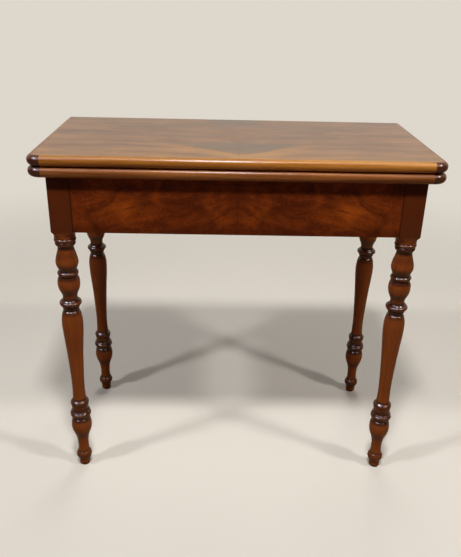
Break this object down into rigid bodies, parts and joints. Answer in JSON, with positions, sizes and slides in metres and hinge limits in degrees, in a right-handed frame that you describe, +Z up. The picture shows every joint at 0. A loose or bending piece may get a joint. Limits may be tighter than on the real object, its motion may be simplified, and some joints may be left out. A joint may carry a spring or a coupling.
{
  "type": "games table",
  "caption": "Fold-over games table on turned legs, whose folded top swivels on a frame with a card compartment and opens to a cloth-lined square.",
  "frame": {"origin": "the floor under the middle of the closed top, which is the bottom centre of the box round the table", "axes": "+Z up, -Y to the front, +X along the length of the closed top, to the right seen from the front"},
  "size_m": [0.8, 0.388, 0.745],
  "materials": {
    "mahogany": "French polished solid mahogany",
    "mahogany_veneer": "French polished figured mahogany veneer",
    "oak": "bare planed oak",
    "baize": "green wool baize",
    "brass": "aged brass",
    "iron": "forged iron",
    "steel": "old steel screws and nails"
  },
  "bodies": {
    "frame": {"leg_front_left": "mahogany", "leg_front_right": "mahogany", "leg_rear_left": "mahogany", "leg_rear_right": "mahogany", "front_rail": "oak", "rear_rail": "oak", "left_rail": "oak", "right_rail": "oak", "front_veneer_left": "mahogany_veneer", "front_veneer_right": "mahogany_veneer", "rear_veneer": "mahogany_veneer", "left_veneer": "mahogany_veneer", "right_veneer": "mahogany_veneer", "pivot_board": "oak", "pivot_board_screws": "steel", "divider": "oak", "compartment_floor": "oak", "front_bearer": "oak", "rear_bearer": "oak", "bearer_screws": "steel", "floor_nails": "steel", "pivot_washer": "iron"},
    "lower_leaf": {"lower_core": "oak", "lower_front_edging": "mahogany", "lower_left_edging": "mahogany", "lower_right_edging": "mahogany", "lower_hinge_edging": "mahogany", "lower_baize": "baize", "pivot_plate": "iron", "pivot_plate_screws": "steel", "pivot_bolt": "iron", "pivot_nut": "iron", "stop_peg": "oak", "lower_hinge_left": "brass", "lower_hinge_right": "brass", "lower_hinge_screws": "brass"},
    "hinge_links": {"hinge_link_left": "brass", "hinge_link_right": "brass", "hinge_pins": "steel"},
    "upper_leaf": {"upper_core": "oak", "upper_front_edging": "mahogany", "upper_left_edging": "mahogany", "upper_right_edging": "mahogany", "upper_hinge_edging": "mahogany", "upper_veneer_left": "mahogany_veneer", "upper_veneer_right": "mahogany_veneer", "upper_baize": "baize", "upper_hinge_left": "brass", "upper_hinge_right": "brass", "upper_hinge_screws": "brass"}
  },
  "joints": [
    {"name": "top_swivel", "type": "hinge", "parent": "frame", "child": "lower_leaf", "pos_m": [0.097, 0.097, 0.7026], "axis": [0, 0, 1], "range_deg": [0, 90]},
    {"name": "link_fold", "type": "hinge", "parent": "lower_leaf", "child": "hinge_links", "pos_m": [0, 0.19, 0.7196], "axis": [-1, 0, 0], "range_deg": [0, 90]},
    {"name": "leaf_fold", "type": "hinge", "parent": "hinge_links", "child": "upper_leaf", "pos_m": [0, 0.19, 0.728], "axis": [-1, 0, 0], "range_deg": [0, 90]}
  ],
  "couplings": [
    {"joint": "link_fold", "follows": "leaf_fold", "ratio": 1}
  ]
}
